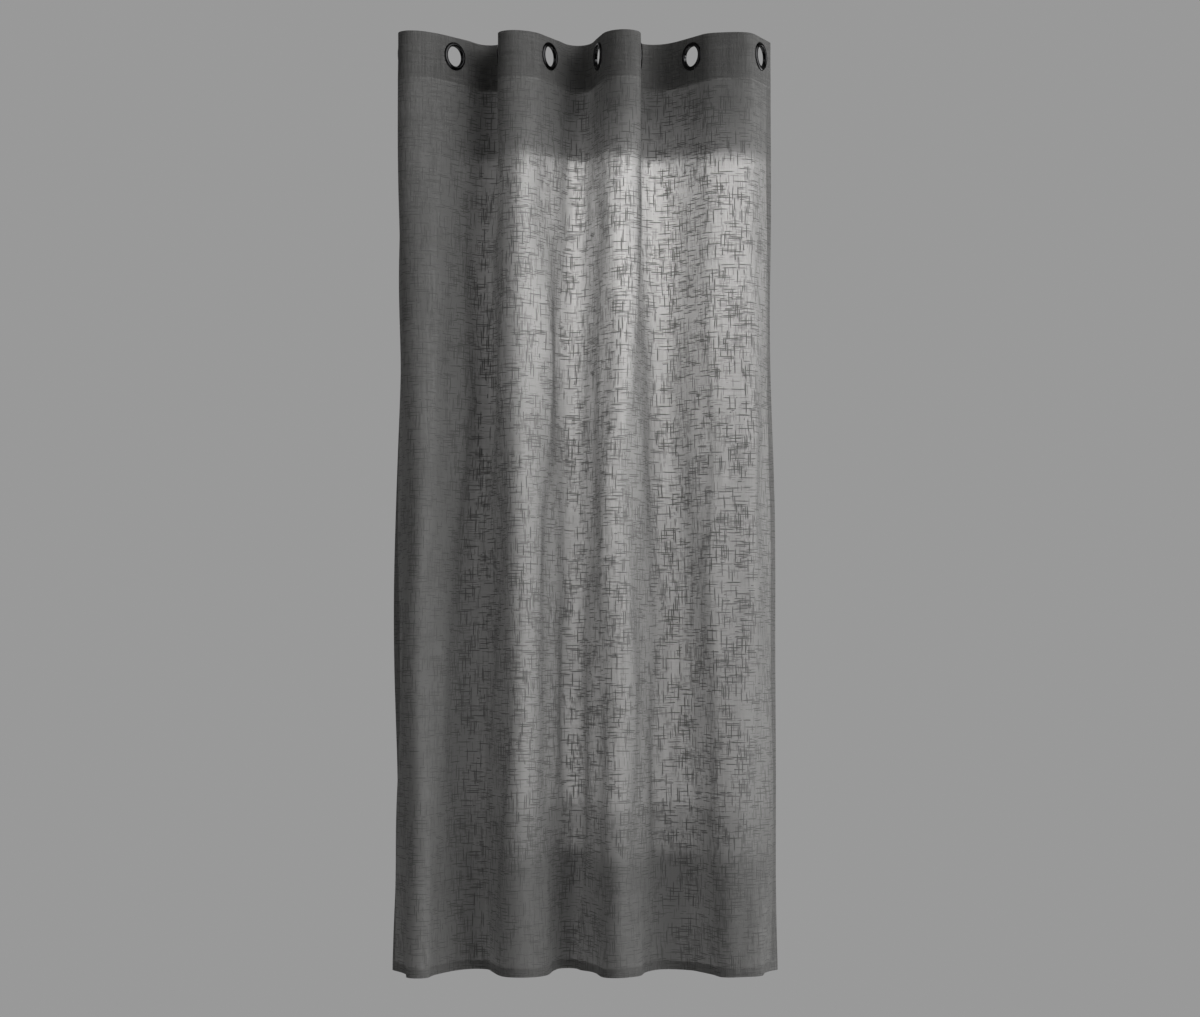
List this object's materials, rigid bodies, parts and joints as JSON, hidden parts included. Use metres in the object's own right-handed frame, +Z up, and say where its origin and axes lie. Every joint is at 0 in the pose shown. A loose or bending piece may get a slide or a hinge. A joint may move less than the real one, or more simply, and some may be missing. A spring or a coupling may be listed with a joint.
{
  "type": "curtain panel",
  "caption": "Semi-sheer woven curtain panel hanging in soft S-shaped folds from a row of dark metal eyelets in a stitched header.",
  "frame": {"origin": "on the line through the eyelet centres, half way between the first and the last eyelet", "axes": "+X along the rod line to the right as seen from the room, +Z up, the face of the cloth towards -Y"},
  "size_m": [0.7474, 0.1447, 1.829],
  "materials": {
    "cloth": "plain slub weave, semi-sheer",
    "stiffener": "non-woven strip",
    "thread": "sewing thread",
    "eyelet_metal": "gloss black nickel"
  },
  "bodies": {
    "panel": {"cloth": "cloth", "header_stiffener": "stiffener", "header_seam_thread": "thread", "hem_seam_thread": "thread", "left_seam_thread": "thread", "right_seam_thread": "thread", "eyelet_1_front": "eyelet_metal", "eyelet_1_back": "eyelet_metal"},
    "slider_2": {"eyelet_2_front": "eyelet_metal", "eyelet_2_back": "eyelet_metal"},
    "slider_3": {"eyelet_3_front": "eyelet_metal", "eyelet_3_back": "eyelet_metal"},
    "slider_4": {"eyelet_4_front": "eyelet_metal", "eyelet_4_back": "eyelet_metal"},
    "slider_5": {"eyelet_5_front": "eyelet_metal", "eyelet_5_back": "eyelet_metal"},
    "slider_6": {"eyelet_6_front": "eyelet_metal", "eyelet_6_back": "eyelet_metal"},
    "slider_7": {"eyelet_7_front": "eyelet_metal", "eyelet_7_back": "eyelet_metal"},
    "slider_8": {"eyelet_8_front": "eyelet_metal", "eyelet_8_back": "eyelet_metal"}
  },
  "joints": [
    {"name": "gather", "type": "hinge", "parent": "panel", "child": "slider_2", "pos_m": [-0.26216, -0.13, 0], "axis": [0, 0, 1], "range_deg": [-10, 20], "deforming": ["cloth", "header_stiffener", "header_seam_thread", "hem_seam_thread", "left_seam_thread", "right_seam_thread"]},
    {"name": "fold_3", "type": "hinge", "parent": "slider_2", "child": "slider_3", "pos_m": [-0.2051, 0.0644, 0], "axis": [0, 0, 1], "range_deg": [-40, 20]},
    {"name": "fold_4", "type": "hinge", "parent": "slider_3", "child": "slider_4", "pos_m": [-0.11148, -0.0594, 0], "axis": [0, 0, 1], "range_deg": [-20, 40]},
    {"name": "fold_5", "type": "hinge", "parent": "slider_4", "child": "slider_5", "pos_m": [-0.01531, 0.0676, 0], "axis": [0, 0, 1], "range_deg": [-40, 20]},
    {"name": "fold_6", "type": "hinge", "parent": "slider_5", "child": "slider_6", "pos_m": [0.07332, -0.0654, 0], "axis": [0, 0, 1], "range_deg": [-20, 40]},
    {"name": "fold_7", "type": "hinge", "parent": "slider_6", "child": "slider_7", "pos_m": [0.16546, 0.0589, 0], "axis": [0, 0, 1], "range_deg": [-40, 20]},
    {"name": "fold_8", "type": "hinge", "parent": "slider_7", "child": "slider_8", "pos_m": [0.28473, -0.0445, 0], "axis": [0, 0, 1], "range_deg": [-20, 40]}
  ],
  "couplings": [
    {"joint": "fold_3", "follows": "gather", "ratio": -2},
    {"joint": "fold_4", "follows": "gather", "ratio": 2},
    {"joint": "fold_5", "follows": "gather", "ratio": -2},
    {"joint": "fold_6", "follows": "gather", "ratio": 2},
    {"joint": "fold_7", "follows": "gather", "ratio": -2},
    {"joint": "fold_8", "follows": "gather", "ratio": 2}
  ]
}
